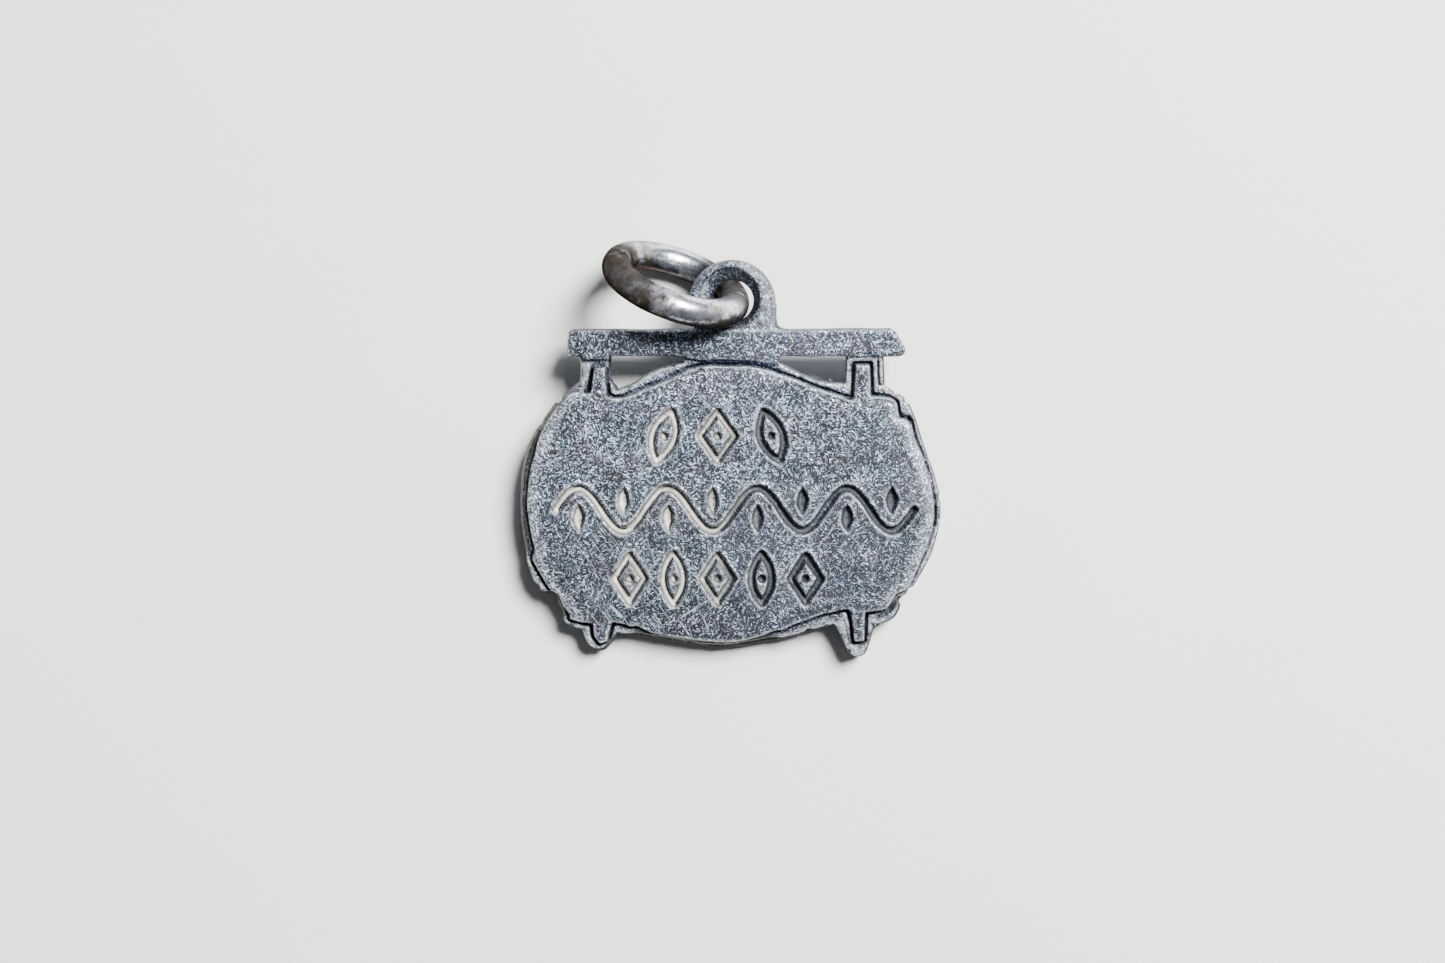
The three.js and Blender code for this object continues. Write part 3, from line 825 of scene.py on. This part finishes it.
class Nodes:
    """A small helper that adds nodes to one material and joins them up."""

    def __init__(self, name):
        self.material = bpy.data.materials.new(name)
        self.material.use_nodes = True
        self.tree = self.material.node_tree
        self.tree.nodes.clear()
        self.out = self.node("OutputMaterial")
        self.shader = self.node("BsdfPrincipled")
        self.put(self.out.inputs[0], self.shader.outputs[0])
        self.place = self.node("TexCoord").outputs["Object"]

    def node(self, kind):
        return self.tree.nodes.new("ShaderNode" + kind)

    def put(self, socket, value):
        if hasattr(value, "is_linked"):
            self.tree.links.new(value, socket)
        else:
            socket.default_value = value

    def shade(self, name, value):
        self.put(self.shader.inputs[name], value)

    def math(self, kind, a, b=0.0, clamp=False):
        n = self.node("Math")
        n.operation = kind
        n.use_clamp = clamp
        self.put(n.inputs[0], a)
        self.put(n.inputs[1], b)
        return n.outputs[0]

    def times(self, a, b, clamp=False):
        return self.math("MULTIPLY", a, b, clamp)

    def plus(self, a, b):
        return self.math("ADD", a, b)

    def turned(self, angle):
        n = self.node("VectorRotate")
        n.rotation_type = "Z_AXIS"
        self.put(n.inputs["Vector"], self.place)
        self.put(n.inputs["Angle"], angle)
        return n.outputs[0]

    def mapping(self, scale=(1, 1, 1), shift=(0, 0, 0), vector=None):
        n = self.node("Mapping")
        n.inputs["Scale"].default_value = scale
        n.inputs["Location"].default_value = shift
        self.put(n.inputs["Vector"], vector or self.place)
        return n.outputs[0]

    def noise(self, scale, detail=2.0, rough=0.5, vector=None):
        n = self.node("TexNoise")
        self.put(n.inputs["Vector"], vector or self.place)
        n.inputs["Scale"].default_value = scale
        n.inputs["Detail"].default_value = detail
        n.inputs["Roughness"].default_value = rough
        return n.outputs[0]

    def cells(self, scale, channel):
        """A random value for each cell of a Voronoi pattern."""
        n = self.node("TexVoronoi")
        self.put(n.inputs["Vector"], self.place)
        n.inputs["Scale"].default_value = scale
        parts = self.node("SeparateColor")
        self.put(parts.inputs[0], n.outputs["Color"])
        return parts.outputs[channel]

    def span(self, value, lo, hi, to_lo=0.0, to_hi=1.0):
        n = self.node("MapRange")
        n.interpolation_type = "SMOOTHSTEP"
        self.put(n.inputs[0], value)
        for i, v in enumerate((lo, hi, to_lo, to_hi)):
            n.inputs[i + 1].default_value = v
        return n.outputs[0]

    def mix(self, factor, a, b, kind="MIX"):
        n = self.node("Mix")
        n.data_type = "RGBA"
        n.blend_type = kind
        self.put(n.inputs["Factor"], factor)
        sockets = [s for s in n.inputs if s.type == "RGBA"]
        self.put(sockets[0], a)
        self.put(sockets[1], b)
        return next(s for s in n.outputs if s.type == "RGBA")

    def paint(self, base, mask, strength, colour):
        """The base colour with another one laid over it where the mask is high."""
        return self.mix(self.times(mask, strength), base, colour)

    def line(self, ends, half_width):
        """1 along a straight mark between two points of the charm's front, else 0."""
        a, b = charm_to_row(np.array([(*ends[0], FRONT), (*ends[1], FRONT)])) * MM
        angle = math.atan2(b[1] - a[1], b[0] - a[0])
        middle = (a + b) / 2
        half = math.hypot(b[0] - a[0], b[1] - a[1]) / 2
        n = self.node("Mapping")
        n.inputs["Rotation"].default_value = (0, 0, -angle)
        n.inputs["Location"].default_value = (
            -math.cos(angle) * middle[0] - math.sin(angle) * middle[1],
            math.sin(angle) * middle[0] - math.cos(angle) * middle[1], 0)
        self.put(n.inputs["Vector"], self.place)
        parts = self.node("SeparateXYZ")
        self.put(parts.inputs[0], n.outputs[0])
        along = self.math("ABSOLUTE", parts.outputs[0])
        across = self.math("ABSOLUTE", parts.outputs[1])
        w = half_width * MM
        mark = self.times(self.span(across, 0.3 * w, w, 1.0, 0.0),
                          self.span(along, 0.6 * half, half, 1.0, 0.0))
        return self.times(mark, self.span(self.noise(3500, 2), 0.30, 0.46), True)

    def attribute(self, name):
        n = self.node("Attribute")
        n.attribute_name = name
        return n.outputs["Fac"]

    def bump(self, height, distance, strength, normal=None):
        n = self.node("Bump")
        n.inputs["Strength"].default_value = strength
        n.inputs["Distance"].default_value = distance
        self.put(n.inputs["Height"], height)
        if normal is not None:
            self.put(n.inputs["Normal"], normal)
        return n.outputs[0]


def grey(v, blue=0.0):
    return (v * (1 - 0.5 * blue), v, v * (1 + blue), 1)


def strokes_and_facets(m):
    """The metal's fine grain: short strokes, each at its own angle, specks and facets."""
    turned = m.turned(m.times(m.cells(3300, 0), 6.28))
    dash = m.span(m.noise(1.0, 1, 0.5, m.mapping((4300, 13500, 9000), vector=turned)), 0.475, 0.645)
    fine = m.span(m.noise(9500, 1, 0.5), 0.45, 0.60)
    grain = m.plus(m.times(dash, 0.52), m.times(fine, 0.21))
    return m.plus(grain, m.times(m.cells(8200, 1), 0.27))


def bare_metal(m, raw_grain, grain, patch):
    """The clean surface: dark between the strokes, painted lighter where the painted sheen is high.
    """
    glint = m.math("POWER", grain, 1.8)
    painted_sheen = m.attribute("painted_sheen")
    tint = m.span(m.noise(620, 2, 0.5, m.mapping(shift=(3, 1, 0))), 0.40, 0.60)
    low = m.mix(tint, (0.016, 0.0125, 0.0155, 1), (0.010, 0.015, 0.0155, 1))
    high = m.mix(tint, (0.030, 0.0235, 0.030, 1), (0.019, 0.028, 0.029, 1))
    # shaded and lit copies of the metal, mixed by the painted sheen
    shaded = m.mix(glint, low, grey(0.42, 0.40))
    lit_tone = m.mix(glint, high, grey(0.70, 0.40))
    base = m.mix(painted_sheen, shaded, lit_tone)
    spark = m.span(raw_grain, 0.60, 0.95)
    base = m.paint(base, spark, 0.75, m.mix(painted_sheen, grey(0.62, 0.26), grey(0.80, 0.24)))
    base = m.paint(base, m.span(patch, 0.42, 0.66), 0.35, DARK_PATCH)
    base = m.paint(base, m.span(m.noise(120, 2, 0.5), 0.45, 0.62), 0.14, BLUISH)
    # lighter and darker places 1 to 2 mm across
    cloud = m.span(m.noise(860, 2, 0.5, m.mapping(shift=(5, 2, 0))), 0.38, 0.62, 0.79, 1.21)
    base = m.mix(1.0, base, cloud, "MULTIPLY")
    polished = m.times(m.attribute("band"), m.span(grain, 0.10, 0.70, 0.10, 0.95))
    return m.mix(polished, base, grey(0.80, 0.18))


def scratched(m, base):
    """Fine scratches in two directions all over, then the single ones."""
    for angle, seed in ((0.95, 3.1), (2.1, 8.7)):
        stretched = m.mapping((700, 15000, 300), (seed, seed, 0), m.turned(angle))
        streak = m.span(m.noise(1.0, 1, 0.4, stretched), 0.64, 0.74)
        short = m.span(m.noise(330, 1, 0.5, m.mapping(shift=(seed, 0, 0))), 0.48, 0.60)
        base = m.paint(base, m.times(streak, short, True), 0.6, grey(0.68, 0.16))
    for ends, half_width, strength in SCRATCHES:
        base = m.paint(base, m.line(ends, half_width), strength, grey(0.70, 0.12))
    return base


def charm_metal():
    m = Nodes("aged_white_metal")
    raw_grain = strokes_and_facets(m)
    grain = m.span(raw_grain, 0.05, 0.98)
    patch = m.noise(520, 3, 0.6)
    base = scratched(m, bare_metal(m, raw_grain, grain, patch))
    # the upright sides are painted darker and plainer, as painted shade, and every edge is worn
    # bright, with painted highlights in the same mask
    side = m.attribute("side")
    base = m.paint(base, side, 0.72, m.mix(patch, grey(0.07, 0.1), grey(0.20, 0.14)))
    wear_and_highlight_mask = m.times(m.attribute("wear_and_highlight"), m.span(m.noise(2600, 2), 0.30, 0.54), True)
    wear_and_highlight_mask = m.times(wear_and_highlight_mask, m.span(grain, 0.05, 0.65, 0.45, 1.0))
    base = m.paint(base, wear_and_highlight_mask, 0.9, grey(0.78, 0.06))
    # dark patina in the hollows, and painted shade in the hole and on the upright sides
    uneven = m.span(m.noise(3000, 3), 0.2, 0.5, 0.7, 1.0)
    patina_and_shade_mask = m.times(m.attribute("patina_and_shade"), uneven, True)
    patina_and_shade_mask = m.times(patina_and_shade_mask, m.span(side, 0.5, 1.0, 1.0, 0.72))
    base = m.paint(base, patina_and_shade_mask, 0.92, BLACK_PATINA_AND_SHADE)
    # painted light in the strokes: their floor and the wall turned to the light are painted pale as
    # a painted highlight in the left half, and dark as painted shade in the right half
    stroke_light_colour = m.mix(m.span(m.attribute("across"), -0.30, 0.22), PAINTED_STROKE_HIGHLIGHT, PAINTED_STROKE_SHADE)
    stroke_light_mask = m.times(m.attribute("stroke"), m.span(m.attribute("lit"), 0.36, 0.56), True)
    base = m.paint(base, m.times(stroke_light_mask, uneven, True), 0.9, stroke_light_colour)
    # painted shade on the sloping sides
    base = m.mix(m.times(m.times(m.attribute("wall"), 0.9), uneven), base, SLOPE_SHADE)
    m.shade("Base Color", base)
    m.shade("Metallic", 0.7)
    m.shade("Roughness", m.span(grain, 0.2, 0.8, 0.60, 0.38))
    coarse = m.bump(m.noise(1500, 3, 0.6), 0.03 * MM, 0.5)
    m.shade("Normal", m.bump(grain, 0.04 * MM, 0.8, coarse))
    return m.material


def ring_metal():
    m = Nodes("worn_wire")
    patch = m.noise(1300, 4, 0.65)
    fine = m.noise(6500, 3, 0.6)
    from_mean = m.math("SUBTRACT", patch, 0.5)
    polish_and_highlight = m.attribute("polish_and_highlight")
    # less brown where worn and where the painted highlight is
    brown = m.span(m.math("SUBTRACT", patch, m.times(polish_and_highlight, 0.11)), 0.27, 0.61)
    base = m.paint(grey(0.93, 0.14), brown, 0.80, BROWN_WIRE)
    base = m.paint(base, m.span(fine, 0.47, 0.60), 0.35, DARK_BROWN)
    # the end away from the eye painted dark brown as a painted reflection, and the underside
    # painted dark as painted shade
    end = m.plus(m.attribute("end"), m.times(from_mean, 0.8))
    base = m.mix(m.span(end, 0.22, 0.90, 0.0, 0.93), base, DARK_END_REFLECTION)
    shaded = m.plus(m.attribute("under"), m.times(from_mean, 0.6))
    base = m.mix(m.span(shaded, 0.20, 0.50, 0.0, 0.90), base, UNDERSIDE_SHADE)
    base = m.paint(base, m.attribute("shade"), 0.9, BLACK_SHADE)
    base = m.mix(m.attribute("seam"), base, BLACK_SEAM)
    m.shade("Base Color", base)
    m.shade("Metallic", 0.95)
    m.shade("Specular Tint", WARM_TINT)
    matt = m.span(end, 0.20, 0.85, 0.0, 0.80)
    rough = m.math("SUBTRACT", patch, m.times(polish_and_highlight, 0.12))
    rough = m.span(rough, 0.30, 0.60, 0.20, 0.46)
    m.shade("Roughness", m.math("MAXIMUM", rough, matt))
    m.shade("Normal", m.bump(fine, 0.02 * MM, 0.45, m.bump(patch, 0.03 * MM, 0.3)))
    return m.material


def floor_paint():
    m = Nodes("pale_floor")
    tone = m.noise(60, 3, 0.5)
    m.shade("Base Color", m.mix(tone, (0.78, 0.77, 0.74, 1), (0.82, 0.81, 0.78, 1)))
    m.shade("Roughness", 0.8)
    return m.material


def give_material(obj, material):
    obj.data.materials.clear()
    obj.data.materials.append(material)


give_material(charm, charm_metal())
give_material(ring, ring_metal())

# ---------------------------------------------------------------- stage, in metres
FLOOR_SIZE = 1.2
VIEW_WIDTH = 0.07617                # what the camera sees across, at the floor's level
SENSOR_WIDTH = 36                   # in millimetres, as the lens is
CAMERA_AT = (-0.000356, -0.00166, 0.115)

bpy.ops.mesh.primitive_plane_add(size=FLOOR_SIZE, location=(0, 0, 0))
floor = bpy.context.object
floor.name = "floor"
give_material(floor, floor_paint())


def area_light(name, at, size, power, colour):
    """A round light aimed at the middle of the object."""
    data = bpy.data.lights.new(name, "AREA")
    data.shape = "DISK"
    data.size = size
    data.energy = power
    data.color = colour
    obj = bpy.data.objects.new(name, data)
    bpy.context.scene.collection.objects.link(obj)
    obj.location = at
    obj.rotation_euler = (-Vector(at)).to_track_quat("-Z", "Y").to_euler()


area_light("key", (0.150, 0.148, 0.31), 0.16, 5.7, (1.0, 1.0, 0.99))
area_light("sky", (0.16, 0.24, 0.36), 0.30, 0.7, (0.86, 0.93, 1.0))
world = bpy.data.worlds.new("studio")
world.use_nodes = True
background = world.node_tree.nodes["Background"]
background.inputs["Color"].default_value = (0.9, 0.93, 1.0, 1)
background.inputs["Strength"].default_value = 0.11
bpy.context.scene.world = world

camera_data = bpy.data.cameras.new("camera")
camera_data.sensor_width = SENSOR_WIDTH
camera_data.lens = SENSOR_WIDTH * CAMERA_AT[2] / VIEW_WIDTH
camera_data.clip_start = 0.005
camera_data.clip_end = 10
camera = bpy.data.objects.new("camera", camera_data)
camera.location = CAMERA_AT
bpy.context.scene.collection.objects.link(camera)
bpy.context.scene.camera = camera

bpy.context.view_layer.update()
